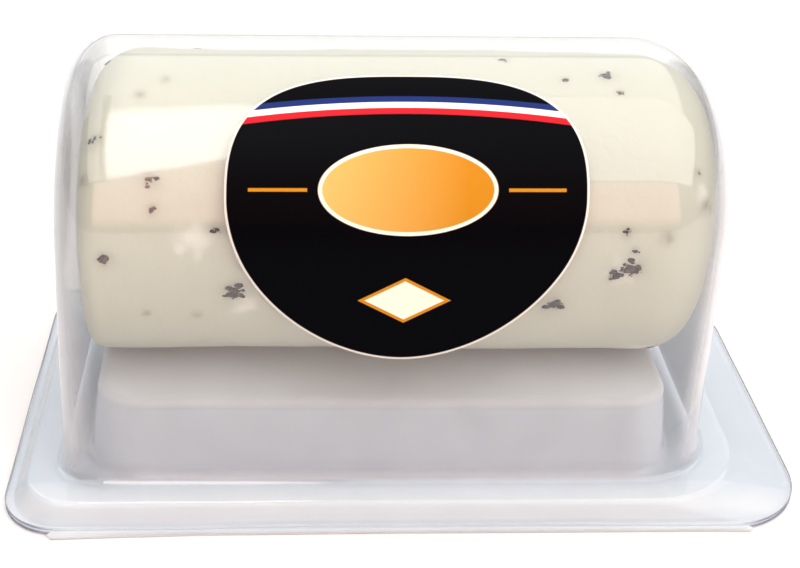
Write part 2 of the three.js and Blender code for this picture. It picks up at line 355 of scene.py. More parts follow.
@dataclass(frozen=True)
class TruffleCrumb:
    """Chopped summer truffle: rough and near black, with brown veins in its cut faces.

    To the eye it is a matt black speck with a hint of brown. Each vein ramp holds a slope
    and a start over the noise.
    """

    name: str = "chopped truffle"
    roughness: float = 0.7
    ior: float = 1.45
    vein_size: float = 0.6
    brown_ramp: tuple = (5.0, -2.6)
    black_ramp: tuple = (-6.0, 3.0)

    def build(self) -> bpy.types.Material:
        """Makes the material.

        Returns:
            The material, veined at vein_size millimetres.
        """
        material, tree = new_material(self.name)
        place = add_node(tree, "TexCoord", output="Object")
        vein = add_node(tree, "TexNoise", named={
            "Vector": place, "Scale": 1 / (self.vein_size * MM), "Detail": 3.0,
        })
        brown, black = (add_node(tree, "Math", vein, *ramp, operation="MULTIPLY_ADD", use_clamp=True)
                        for ramp in (self.brown_ramp, self.black_ramp))
        tone = layered(tree, Hue.TRUFFLE, (brown, Hue.TRUFFLE_BROWN), (black, Hue.TRUFFLE_BLACK))
        body = add_node(tree, "BsdfPrincipled", named={
            "Base Color": tone, "Roughness": self.roughness, "IOR": self.ior,
        })
        add_node(tree, "OutputMaterial", body)
        return material


@dataclass(frozen=True)
class LabelPrint:
    """Printed polypropylene sticker: a near-black ink field under a satin varnish.

    To the eye it is deep black with crisp flat inks, and only a broad dim sheen. The print
    is generic: an even band of three colours, a golden lens between rules and a small cream
    lozenge. Places are millimetres from the label's middle, right and up.
    """

    name: str = "varnished printed film"
    roughness: float = 0.35
    ior: float = 1.5
    gloss: float = 0.03
    peel_size: float = 0.7
    peel_depth: float = 0.1
    peel_strength: float = 0.08
    soft_edge: float = 0.09
    border: float = 0.3
    bands: tuple = ((13.6, Hue.INK_BLUE), (12.7, Hue.INK_WHITE), (11.8, Hue.INK_RED))
    band_half: float = 0.45
    band_arch: float = 0.0035
    lens_level: float = 1.2
    lens_radii: tuple = (11.6, 5.9)
    lens_rim: float = 0.5
    gold_span: tuple = (-11.0, 8.0)
    rule_span: tuple = (13.0, 20.5)
    rule_half: float = 0.22
    lozenge_level: float = -14.0
    lozenge_half: float = 3.4
    lozenge_rim: float = 0.5
    lozenge_slope: float = 0.55

    def in_lens(self, tree: Tree, place: Socket, rim: float) -> Socket:
        """Gives how far inside the lens a place is: (1 - its reach in radii) x the lesser radius.

        Args:
            tree: the node tree.
            place: place on the label.
            rim: width of the lens's rim that is left out.

        Returns:
            Socket of about the distance in from the edge, negative outside.
        """
        half_width, half_height = (radius - rim for radius in self.lens_radii)
        mapped = add_node(tree, "Mapping", named={
            "Vector": place, "Location": (0, -self.lens_level / half_height, 0),
            "Scale": (1 / half_width, 1 / half_height, 0),
        })
        reach = add_node(tree, "VectorMath", mapped, output="Value", operation="LENGTH")
        inside = add_node(tree, "Math", 1.0, reach, operation="SUBTRACT")
        return add_node(tree, "Math", inside, half_height, operation="MULTIPLY")

    def in_band(self, tree: Tree, value: Socket, middle: float, half: float) -> Socket:
        """Gives how far inside a band a value is: half the band's width - |value - middle|.

        Args:
            tree: the node tree.
            value: the value.
            middle: the band's middle.
            half: half its width.

        Returns:
            Socket of the distance in from the edge, negative outside.
        """
        off = add_node(tree, "Math", value, middle, operation="SUBTRACT")
        away = add_node(tree, "Math", off, operation="ABSOLUTE")
        return add_node(tree, "Math", half, away, operation="SUBTRACT")

    def inks(self, tree: Tree) -> list[tuple[Socket, Feed]]:
        """Lists the inks over the black field, in the order in which they are laid.

        Args:
            tree: the node tree.

        Returns:
            Pairs of the distance in from an ink's edge and its colour.
        """
        span = Label.map_span
        place = add_node(tree, "VectorMath", add_node(tree, "UVMap", uv_map="label_mm"),
                         (span,) * 3, (-span / 2,) * 3, operation="MULTIPLY_ADD")
        x, y = (add_node(tree, "SeparateXYZ", place, output=axis) for axis in "XY")
        across = add_node(tree, "Math", x, operation="ABSOLUTE")
        square = add_node(tree, "Math", x, x, operation="MULTIPLY")
        arched = add_node(tree, "Math", square, self.band_arch, y, operation="MULTIPLY_ADD")
        inks = [(self.in_band(tree, arched, level, self.band_half), hue) for level, hue in self.bands]
        shade = add_node(tree, "MapRange", x, *self.gold_span, 0.0, 1.0)
        gold = layered(tree, Hue.INK_GOLD_PALE, (shade, Hue.INK_GOLD))
        for rim, hue in ((0.0, Hue.INK_CREAM), (self.lens_rim, gold)):
            inks.append((self.in_lens(tree, place, rim), hue))
        near, far = self.rule_span
        rule = add_node(tree, "Math", self.in_band(tree, across, (near + far) / 2, (far - near) / 2),
                        self.in_band(tree, y, self.lens_level, self.rule_half), operation="MINIMUM")
        inks.append((rule, Hue.INK_GOLD))
        for rim, hue in ((0.0, Hue.INK_GOLD), (self.lozenge_rim, Hue.INK_CREAM)):
            upright = self.in_band(tree, y, self.lozenge_level, self.lozenge_half - rim)
            lozenge = add_node(tree, "Math", across, -self.lozenge_slope, upright,
                               operation="MULTIPLY_ADD")
            inks.append((lozenge, hue))
        edge = add_node(tree, "Attribute", output="Fac", attribute_name="edge")
        inks.append((add_node(tree, "Math", self.border, edge, operation="SUBTRACT"), Hue.INK_BORDER))
        return inks

    def build(self) -> bpy.types.Material:
        """Makes the material. An ink's cover is its distance in over soft_edge, plus a half.

        Returns:
            The material, which reads the map label_mm and the attribute edge.
        """
        material, tree = new_material(self.name)
        layers = [(add_node(tree, "Math", inside, 1 / self.soft_edge, 0.5, operation="MULTIPLY_ADD",
                            use_clamp=True), hue) for inside, hue in self.inks(tree)]
        peel = add_node(tree, "TexNoise", named={
            "Vector": add_node(tree, "TexCoord", output="Object"),
            "Scale": 1 / (self.peel_size * MM), "Detail": 2.0,
        })
        bump = add_node(tree, "Bump", named={
            "Height": peel, "Strength": self.peel_strength, "Distance": self.peel_depth * MM,
        })
        body = add_node(tree, "BsdfPrincipled", named={
            "Base Color": layered(tree, Hue.INK_BLACK, *layers), "Roughness": self.roughness,
            "IOR": self.ior, "Specular IOR Level": self.gloss, "Normal": bump,
        })
        add_node(tree, "OutputMaterial", body)
        return material


@dataclass(frozen=True)
class WhiteBoard:
    """Matt coated board under the pack: to the eye a plain pale ground with hardly any sheen."""

    name: str = "matt white board"
    roughness: float = 0.9
    gloss: float = 0.1

    def build(self) -> bpy.types.Material:
        """Makes the material.

        Returns:
            The material.
        """
        material, tree = new_material(self.name)
        body = add_node(tree, "BsdfPrincipled", named={
            "Base Color": Hue.FLOOR, "Roughness": self.roughness, "Specular IOR Level": self.gloss,
        })
        add_node(tree, "OutputMaterial", body)
        return material


def rise(values: np.ndarray, start: float | tuple, width: float) -> np.ndarray:
    """A straight rise from 0 at start to 1 a width further on; a negative width turns it round."""
    return np.clip((values - start) / width, 0, 1)


def ripple(points: np.ndarray, length: float, seed: int, waves: int = 20) -> np.ndarray:
    """A smooth random relief: sine waves in random directions, summed, over their number's root.

    Args:
        points: places in millimetres, the last axis holding x, y and z.
        length: the typical wavelength in millimetres.
        seed: the random seed.
        waves: how many sine waves are added.

    Returns:
        A value of about -1 to 1 for each place.
    """
    random = np.random.default_rng(seed)
    heading = random.normal(size=(3, waves))
    heading /= np.linalg.norm(heading, axis=0)
    heading *= 2 * np.pi / (length * random.uniform(0.7, 1.6, waves))
    phase = random.uniform(0, 2 * np.pi, waves)
    return np.sin(points @ heading + phase).sum(-1) / math.sqrt(waves)


def ring_of(corners: np.ndarray, across: int, along: int) -> np.ndarray:
    """Joins the four corner arcs of each outline by straight runs of evenly spaced points.

    Args:
        corners: rows of four corner arcs, front right first, counterclockwise from above.
        across: steps in each end's run.
        along: steps in the front's and the back's run.

    Returns:
        Rows of closed outlines, all with the same number of points.
    """
    parts = []
    for corner in range(4):
        steps = along if corner % 2 else across
        start, stop = corners[:, corner, -1], corners[:, (corner + 1) % 4, 0]
        share = (np.arange(1, steps) / steps)[None, :, None]
        parts += [corners[:, corner], start[:, None] * (1 - share) + stop[:, None] * share]
    return np.concatenate(parts, axis=1)


def bridge(first: np.ndarray, last: np.ndarray, shares: tuple) -> np.ndarray:
    """Outlines in between two outlines, each point moved straight by the given shares."""
    share = np.asarray(shares)[:, None, None]
    return first[None] * (1 - share) + last[None] * share


def loft_faces(rows: int, count: int) -> np.ndarray:
    """Four-sided faces between closed outlines that follow each other outwards.

    Args:
        rows: how many outlines there are.
        count: points in each.

    Returns:
        Point numbers of each face.
    """
    row, column = np.meshgrid(np.arange(rows - 1), np.arange(count), indexing="ij")
    after = (column + 1) % count
    below = row + 1
    corners = [row * count + column, below * count + column, below * count + after, row * count + after]
    return np.stack(corners, -1).reshape(-1, 4)


def make_piece(name: str, points: np.ndarray, faces: np.ndarray, material: bpy.types.Material,
               attributes: dict[str, np.ndarray] | None = None, uv: np.ndarray | None = None,
               smooth: bool = True) -> bpy.types.Object:
    """Puts a closed surface into a mesh object at the origin, coinciding points merged.

    Args:
        name: the object's name.
        points: places in millimetres.
        faces: point numbers of each face.
        material: its finish.
        attributes: a value for each point, by attribute name.
        uv: the label map's two values for each point.
        smooth: whether faces are shaded smooth.

    Returns:
        The object.
    """
    mesh = bpy.data.meshes.new(name)
    mesh.from_pydata((points.reshape(-1, 3) * MM).tolist(), [], faces.tolist())
    for key, values in (attributes or {}).items():
        data = mesh.attributes.new(key, "FLOAT", "POINT").data
        data.foreach_set("value", values.ravel().astype(np.float32))
    if uv is not None:
        corner = np.empty(len(mesh.loops), dtype=np.int32)
        mesh.loops.foreach_get("vertex_index", corner)
        mesh.uv_layers.new(name="label_mm").data.foreach_set("uv", uv[corner].ravel().astype(np.float32))
    work = bmesh.new()
    work.from_mesh(mesh)
    bmesh.ops.remove_doubles(work, verts=work.verts, dist=MERGE_WITHIN)
    bmesh.ops.dissolve_degenerate(work, edges=work.edges, dist=MERGE_WITHIN)
    bmesh.ops.recalc_face_normals(work, faces=work.faces)
    work.to_mesh(mesh)
    work.free()
    mesh.polygons.foreach_set("use_smooth", [smooth] * len(mesh.polygons))
    mesh.materials.append(material)
    mesh.update()
    piece = bpy.data.objects.new(name, mesh)
    bpy.context.scene.collection.objects.link(piece)
    return piece


def attach(piece: bpy.types.Object, slot: str, *nodes: str) -> bpy.types.Object:
    """Lets a piece ride on the one body, and hides the solids it stands for.

    Args:
        piece: the piece.
        slot: not used.
        nodes: names of the solids that it replaces.

    Returns:
        The same piece.
    """
    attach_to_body(piece, "root")
    if nodes:
        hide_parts(*nodes)
    log.info("%s: %d faces", piece.name, len(piece.data.polygons))
    return piece


@dataclass(frozen=True)
class Outline:
    """A level rounded outline. Its left and right corners have radii of their own."""

    left: float
    right: float
    front: float
    back: float
    corner_left: float
    corner_right: float

    def grown(self, by: float) -> "Outline":
        """The outline moved outwards on all sides."""
        return Outline(self.left - by, self.right + by, self.front - by, self.back + by,
                       max(self.corner_left + by, LEAST_CORNER), max(self.corner_right + by, LEAST_CORNER))

    def shrunk_to(self, share: float) -> "Outline":
        """The outline scaled towards its middle.

        Args:
            share: its new size over its old one.

        Returns:
            The scaled outline.
        """
        x, y = (self.left + self.right) / 2, (self.front + self.back) / 2
        return Outline(x + (self.left - x) * share, x + (self.right - x) * share,
                       y + (self.front - y) * share, y + (self.back - y) * share,
                       self.corner_left * share, self.corner_right * share)

    def corners(self, height: float, steps: int) -> np.ndarray:
        """The four corner arcs, each a quarter circle.

        Args:
            height: the outline's level.
            steps: steps in each arc.

        Returns:
            Array of four arcs of points.
        """
        signs = ((1, -1), (1, 1), (-1, 1), (-1, -1))
        arcs = []
        for number, (sign_x, sign_y) in enumerate(signs):
            radius = self.corner_right if sign_x > 0 else self.corner_left
            x = (self.right if sign_x > 0 else self.left) - sign_x * radius
            y = (self.back if sign_y > 0 else self.front) - sign_y * radius
            turn = QUARTER * (number - 1) + np.linspace(0, QUARTER, steps + 1)
            arcs.append(np.stack([x + radius * np.cos(turn), y + radius * np.sin(turn),
                                  np.full(steps + 1, height)], -1))
        return np.stack(arcs)


@dataclass(frozen=True)
class Fineness:
    """Steps in the sheets' outlines, then points in their curves from top to bottom."""

    corner: int = 20
    across: int = 18
    along: int = 60
    vault: int = 45
    wall: int = 14
    fillet: int = 8


@dataclass(frozen=True)
class Flange:
    """The flange that both sheets share: ledge, crease, sloping skirt and flat rim.

    Its mark of wear and painted light, and the pale stretch of its cut edge's painted shade, start at a
    distance and rise over a width.
    """

    rim: Outline = Outline(-57.1, 57.1, -31, 32, 8, 12)
    crease: Outline = Outline(-54.4, 48.6, -28, 28, 7.5, 14)
    rim_flat: float = 1.2
    ledge_shares: tuple = (0.2, 0.4, 0.6, 0.8, 0.94)
    skirt_shares: tuple = (0, 0.08, 0.25, 0.5, 0.75, 0.92)
    rim_shares: tuple = (0, 0.15, 0.5, 0.9, 1)
    middle_x: float = -1.0
    # The cut edge's painted shade is paled along the straight front.
    pale_front: tuple = (29.5, 1)
    pale_half: tuple = (51, -4)
    pale_share: float = 0.8
    side_wear: float = 0.4
    # At the front the mark is partly painted light, lifting the shade the log casts on the front flange.
    front_wear_and_light: tuple = (22, 5)
    rim_ease: tuple = (27.5, 1.5)
    rim_ease_share: float = 0.7
    # The rise of the painted light on the tray's bed top.
    painted_light_width: float = 0.6
    wear_below_width: float = 0.3
    relief: float = 0.1
    relief_length: float = 26.0
    relief_lift: float = 0.7
    level_middle: tuple = (-3.5, 0)
    level_half: tuple = (48, 24)
    level_width: float = 6.0
    fineness: Fineness = Fineness()

    def ring(self, outline: Outline, height: float) -> np.ndarray:
        """One outline's points."""
        corners = outline.corners(height, self.fineness.corner)[None]
        return ring_of(corners, self.fineness.across, self.fineness.along)[0]

    def rings(self, foot: np.ndarray, ledge_top: float, rim_top: float, lowered: float) -> np.ndarray:
        """The flange from a sheet's foot outline out to its rim, in three straight runs.

        Args:
            foot: the outline where the sheet's fillet ends.
            ledge_top: height of the ledge's upper face.
            rim_top: height of the rim's upper face.
            lowered: how far below the upper face this face lies.

        Returns:
            Rows of outlines.
        """
        ledge = self.ring(self.crease, ledge_top - lowered)
        skirt_end = self.ring(self.rim.grown(-self.rim_flat), rim_top - lowered)
        edge = self.ring(self.rim, rim_top - lowered)
        return np.concatenate([bridge(foot, ledge, self.ledge_shares),
                               bridge(ledge, skirt_end, self.skirt_shares),
                               bridge(skirt_end, edge, self.rim_shares)])

    def marks(self, rows: np.ndarray, worn_below: float, painted_light_above: float) -> dict[str, np.ndarray]:
        """Marks the cut edge of the rim, where a grey-blue painted shade goes, and the mark of wear and
        painted light.

        The edge's painted shade is paled along its straight front. The mark is full at the front, partly
        as painted light that lifts the log's shade, and above painted_light_above, as painted light alone;
        it is eased at the front rim, and side_wear elsewhere.

        Args:
            rows: outlines of the upper face outwards and the underside inwards.
            worn_below: height below which the mark of wear and painted light starts.
            painted_light_above: height above which the mark is full, as painted light.

        Returns:
            The attributes cut_edge_shade and worn for each point.
        """
        x, forward, height = rows[..., 0], -rows[..., 1], rows[..., 2]
        outermost = len(rows) // 2
        edge = np.zeros(rows.shape[:2])
        edge[outermost - 1:outermost + 1] = 1
        # The cut edge's painted shade, paled along the straight front.
        straight = rise(forward, *self.pale_front) * rise(np.abs(x - self.middle_x), *self.pale_half)
        # At the front the mark is partly painted light; on the tray's bed top it is painted light alone.
        front = rise(forward, *self.front_wear_and_light) * (1 - self.rim_ease_share * rise(forward, *self.rim_ease))
        full = np.maximum(front, rise(height, painted_light_above, self.painted_light_width))
        wear_and_light = rise(height, worn_below, -self.wear_below_width)
        return {"cut_edge_shade": edge * (1 - self.pale_share * straight),
                "wear_and_light": wear_and_light * (self.side_wear + (1 - self.side_wear) * full)}

    def uneven(self, points: np.ndarray, seed: int) -> np.ndarray:
        """Adds the slight unevenness of a drawn sheet, lifted so that it hardly sinks anywhere.

        Args:
            points: rows of outlines.
            seed: seed of the relief.

        Returns:
            The points, raised by a relief that grows outwards from a level middle.
        """
        moved = points.copy()
        off = np.abs(points[..., :2] - self.level_middle)
        outward = rise(off, self.level_half, self.level_width).max(-1)
        relief = ripple(points * [1, 1, 0], self.relief_length, seed) + self.relief_lift
        moved[..., 2] += self.relief * outward * relief
        return moved


@dataclass(frozen=True)
class Corner:
    """Radius of the hood's end corners, at the side walls and at the ridge."""

    side: float
    top: float


@dataclass(frozen=True)
class Hood:
    """The lid's hood: a round vault on upright walls, with rounded ends."""

    middle_x: float = -2.8
    half_length: float = 47.0
    radius: float = 22.9
    axis_z: float = 37.1
    draft_end: float = 0.034
    draft_side: float = 0.02
    left_corner: Corner = Corner(6.5, 6.2)
    right_corner: Corner = Corner(12.0, 12.0)
    foot_fillet: float = 1.2
    climb: float = 0.0003
    ledge_top: float = 3.3

    def risen(self, points: np.ndarray) -> np.ndarray:
        """Stretches heights above the ledge, by a share that grows from left to right.

        Args:
            points: places on the hood.

        Returns:
            The places with their new heights.
        """
        moved = points.copy()
        above = np.maximum(points[..., 2] - self.ledge_top, 0)
        moved[..., 2] += above * self.climb * (points[..., 0] - self.middle_x)
        return moved

    def rings(self, inset: float, fineness: Fineness) -> np.ndarray:
        """The hood from its ridge line down to its foot and out round the foot fillet.

        Each end corner is a quarter round whose inward step follows the side's outward
        direction, so that the vault's edge and the upright corners flow into each other.

        Args:
            inset: how far inside the outer face this face lies.
            fineness: steps in the outlines.

        Returns:
            Rows of outlines.
        """
        turn = np.linspace(0, QUARTER, fineness.vault)
        wall_foot = self.ledge_top + self.foot_fillet
        wall = np.linspace(self.axis_z, wall_foot, fineness.wall)[1:]
        fillet = np.linspace(0, QUARTER, fineness.fillet)[1:]
        bend = self.foot_fillet + inset
        wall_side = self.radius + self.draft_side * (self.axis_z - wall)
        upright = len(wall) + len(fillet)
        side = np.concatenate([self.radius * np.sin(turn), wall_side, np.full(len(fillet), wall_side[-1])])
        height = np.concatenate([self.axis_z + self.radius * np.cos(turn), wall,
                                 wall_foot - bend * np.sin(fillet)])
        out_y = np.concatenate([np.sin(turn), np.ones(upright)])
        out_z = np.concatenate([np.cos(turn), np.zeros(upright)])
        deep = np.concatenate([np.full(len(side) - len(fillet), inset),
                               bend * np.cos(fillet) - self.foot_fillet])
        quarter = np.linspace(0, QUARTER, fineness.corner + 1)[None]

        def arc(radii: Corner, sign_x: int, sign_y: int) -> np.ndarray:
            """One end corner's arc in each row, from the side wall to the end wall.

            Args:
                radii: the corner's radii.
                sign_x: 1 at the right end and -1 at the left.
                sign_y: 1 at the back and -1 at the front.

            Returns:
                The arc's points in each row.
            """
            corner = (radii.side + (radii.top - radii.side) * out_z ** 2 - deep)[:, None]
            inward = deep[:, None] + corner * (1 - np.cos(quarter))
            z = height[:, None] - out_z[:, None] * inward
            end = self.half_length - deep[:, None] - self.draft_end * np.maximum(z - self.ledge_top, 0)
            x = self.middle_x + sign_x * (end - corner * (1 - np.sin(quarter)))
            return np.stack([x, sign_y * (side[:, None] - out_y[:, None] * inward), z], -1)

        right, left = self.right_corner, self.left_corner
        corners = np.stack([arc(right, 1, -1), arc(right, 1, 1)[:, ::-1],
                            arc(left, -1, 1), arc(left, -1, -1)[:, ::-1]], 1)
        return self.risen(ring_of(corners, fineness.across, fineness.along))

    def on_front(self, x: np.ndarray, down: np.ndarray, lift: float) -> np.ndarray:
        """Places on the hood's front: round the vault, then straight down the wall.

        Args:
            x: place along the pack.
            down: length down the surface from the ridge line.
            lift: height above the surface.

        Returns:
            The points.
        """
        quarter = self.radius * QUARTER
        turn = np.minimum(down, quarter) / self.radius
        below = np.maximum(down - quarter, 0)
        reach = self.radius + lift
        y = -(reach * np.sin(turn) + self.draft_side * below)
        z = self.axis_z + reach * np.cos(turn) - below
        return self.risen(np.stack([x, y, z], -1))


@dataclass(frozen=True)
class Lid:
    """The clear lid: hood and flange drawn from one sheet.

    It is drawn most at its ends: the mark starts at a distance and rises over a width.
    """

    sheet: float = 0.4
    rim_top: float = 1.15
    bow: float = 0.35
    bow_middle: float = 1.0
    bow_half: float = 28.0
    bow_front: tuple = (27, 4)
    drawn_end: tuple = (41, 4)
    drawn_foot: float = 1.5
    wear_and_light_drop: float = 0.1
    relief_seed: int = 11
    hood: Hood = Hood()
    flange: Flange = Flange()

    def face(self, side: Face) -> np.ndarray:
        """Joins one face's hood and flange.

        Args:
            side: which face of the sheet.

        Returns:
            Rows of outlines, from the ridge out to the rim.
        """
        deep = self.sheet * side.value
        hood = self.hood.rings(deep, self.flange.fineness)
        flange = self.flange.rings(hood[-1], self.hood.ledge_top, self.rim_top, deep)
        return np.concatenate([hood, flange])

    def bowed(self, points: np.ndarray) -> np.ndarray:
        """Lifts the middle of the front rim, where the sheet springs off the tray.

        Args:
            points: rows of outlines.

        Returns:
            The points, lifted by bow x the square of the forward rise over 1 + x^6.
        """
        moved = points.copy()
        forward = rise(-points[..., 1], *self.bow_front) ** 2
        along = 1 / (1 + ((points[..., 0] - self.bow_middle) / self.bow_half) ** 6)
        moved[..., 2] += self.bow * forward * along
        return moved

    def build(self, material: bpy.types.Material) -> bpy.types.Object:
        """Makes the lid.

        Args:
            material: its finish.

        Returns:
            The object.
        """
        rows = np.concatenate([self.face(Face.UPPER), self.face(Face.UNDER)[::-1]])
        points = self.flange.uneven(self.bowed(rows), self.relief_seed)
        faces = loft_faces(*points.shape[:2])
        ledge_top = self.hood.ledge_top
        # The flange's mark of wear, full at the front as partly painted light.
        marks = self.flange.marks(rows, ledge_top - self.wear_and_light_drop, math.inf)
        towards_end = rise(np.abs(rows[..., 0] - self.hood.middle_x), *self.drawn_end)
        marks["drawn"] = towards_end * rise(rows[..., 2], ledge_top, self.drawn_foot)
        return attach(make_piece("lid_sheet", points, faces, material, marks), "lid_plastic", "lid")


@dataclass(frozen=True)
class Tray:
    """The tray: a raised bed with rounded edges, and the same flange as the lid's.

    The bed's flat top is drawn in rows, from the least of bed_shares to the next one, and
    the third says how many. The strip's front edge runs through strip_x and strip_front.
    """

    sheet: float = 0.4
    rim_top: float = 0.6
    ledge_top: float = 2.4
    bed_top: float = 14.4
    bed: Outline = Outline(-44.8, 37.5, -20, 20, 6.5, 6.5)
    bed_draft: float = 0.13
    bed_edge: float = 1.4
    bed_fillet: float = 1.5
    bed_shares: tuple = (0.001, 0.96, 12)
    bed_edge_points: int = 9
    wall_shares: tuple = (0.25, 0.5, 0.75)
    # Depth below the bed's top from which the top carries the mark as painted light.
    wear_and_light_drop: float = 1.0
    strip_x: tuple = (-50.4, -43.0, -29.0, -2.0, 40.0, 48.4)
    strip_front: tuple = (-32.0, -31.7, -31.3, -31.2, -31.3, -31.5)
    strip_back: float = -30.4
    strip_thick: float = 0.62
    strip_blunt: float = 0.5
    strip_square: float = 0.6
    strip_points: int = 161
    strip_round: int = 25
    flange: Flange = Flange()

    def face(self, side: Face) -> np.ndarray:
        """Joins one face's flat bed, its rounded edge, sloping wall, foot fillet and flange.

        Args:
            side: which face of the sheet.

        Returns:
            Rows of outlines, from the bed's middle out to the rim.
        """
        deep = self.sheet * side.value
        top = self.bed.grown(-self.bed_edge)
        flat = [self.flange.ring(top.shrunk_to(share), self.bed_top - deep)
                for share in np.linspace(*self.bed_shares)]
        edge, bend = self.bed_edge - deep, self.bed_fillet + deep
        edge_foot = self.bed_top - self.bed_edge
        fillet_top = self.ledge_top + self.bed_fillet
        fall = (edge_foot - fillet_top) * np.array(self.wall_shares)
        wall_foot = self.bed_draft * (edge_foot - fillet_top)
        over = np.linspace(0, QUARTER, self.bed_edge_points)
        under = np.linspace(0, QUARTER, self.flange.fineness.fillet)
        out = np.concatenate([edge * np.sin(over) - self.bed_edge, self.bed_draft * fall - deep,
                              wall_foot + self.bed_fillet - bend * np.cos(under)])
        height = np.concatenate([edge_foot + edge * np.cos(over), edge_foot - fall,
                                 fillet_top - bend * np.sin(under)])
        side_rows = [self.flange.ring(self.bed.grown(by), level) for by, level in zip(out, height)]
        flange = self.flange.rings(side_rows[-1], self.ledge_top, self.rim_top, deep)
        return np.concatenate([np.stack(flat + side_rows), flange])

    def strip(self, material: bpy.types.Material) -> bpy.types.Object:
        """Makes the folded strip along the front: a flat oval section with blunt ends.

        Args:
            material: its finish.

        Returns:
            The object.
        """
        x = np.linspace(self.strip_x[0], self.strip_x[-1], self.strip_points)
        turn = np.linspace(0, 2 * np.pi, self.strip_round)[:-1]
        front = np.interp(x, self.strip_x, self.strip_front)
        half = (self.strip_back - front) / 2
        from_end = np.minimum(x - x[0], x[-1] - x)
        blunt = np.minimum(1, np.sqrt(np.clip(from_end / self.strip_blunt, 1e-4, 1)))
        level = np.sign(np.sin(turn)) * np.abs(np.sin(turn)) ** self.strip_square * self.strip_thick / 2
        points = np.stack([
            np.broadcast_to(x[:, None], (len(x), len(turn))),
            (front + half)[:, None] - np.outer(half * blunt, np.cos(turn)),
            self.strip_thick / 2 + np.outer(blunt, level),
        ], -1)
        caps = [np.broadcast_to(points[end].mean(0), (1, len(turn), 3)) for end in (0, -1)]
        rows = np.concatenate([caps[0], points, caps[1]])
        faces = loft_faces(*rows.shape[:2])
        # The strip carries the full mark, partly painted light, as the front flange does.
        marks = {"wear_and_light": np.ones(rows.shape[:2])}
        return attach(make_piece("tray_front_strip", rows, faces, material, marks), "tray_plastic")

    def build(self, material: bpy.types.Material) -> bpy.types.Object:
        """Makes the tray.

        Args:
            material: its finish.

        Returns:
            The object.
        """
        rows = np.concatenate([self.face(Face.UPPER), self.face(Face.UNDER)[::-1]])
        faces = loft_faces(*rows.shape[:2])
        # Over the bed's top the mark is painted light that lifts the shade of the log on the bed.
        marks = self.flange.marks(rows, math.inf, self.bed_top - self.wear_and_light_drop)
        return attach(make_piece("tray_sheet", rows, faces, material, marks), "tray_plastic", "tray")


@dataclass(frozen=True)
class Fleck:
    """One truffle fleck: along the log, turn above its front line in degrees, and size.

    A faint one lies just under the surface and only greys the paste.
    """

    x: float
    turn: float
    size: float
    faint: bool = False


# The flecks on the side of the log that faces the camera.
SHOWN_FLECKS = tuple(Fleck(*values) for values in (
    (-42.8, 48, 2.0), (-44.3, 33, 1.5, True), (-35.6, 33, 2.3), (-35.3, 23, 1.5), (-27.3, 16, 1.6),
    (-41.6, 5, 2.0), (-25.0, -9, 3.2), (-36.6, -19, 1.0, True), (-30.0, -20, 1.0, True),
    (-34.3, 74, 1.3), (-37.4, 66, 1.3, True), (25.4, 80, 2.2), (26.6, 70, 1.1), (19.4, 77, 1.2),
    (11.6, 91, 1.4), (36.4, 38, 1.0), (26.6, 16, 1.3), (32.2, 14, 1.6, True), (27.9, 9, 1.0),
    (25.7, 0, 2.2), (28.0, 3, 3.0), (17.8, -13, 3.2), (34.5, -52, 2.0), (38.2, 25, 2.2, True),
))
# Smears of whiter curd, each with its place along the log, turn in degrees and reach.
SMEARS = ((-30.2, 13, 2.6), (-23.6, -15, 2.2), (26.4, 1, 2.4), (32.0, -50, 3.0), (37.0, 30, 1.4))


@dataclass(frozen=True)
class EndRound:
    """Rounding radius of one end of the log, at its underside, its sides and its top."""

    bottom: float
    side: float
    top: float

    def drawn_in(self, from_end: np.ndarray, up: np.ndarray) -> np.ndarray:
        """How far a quarter round draws the log's surface in.

        Args:
            from_end: distance from the end.
            up: the surface's upward share, -1 to 1.

        Returns:
            The inward distances.
        """
        radius = self.side + (np.where(up > 0, self.top, self.bottom) - self.side) * up ** 2
        short = radius - np.minimum(np.maximum(from_end, 0), radius)
        return radius - np.sqrt(radius ** 2 - short ** 2)


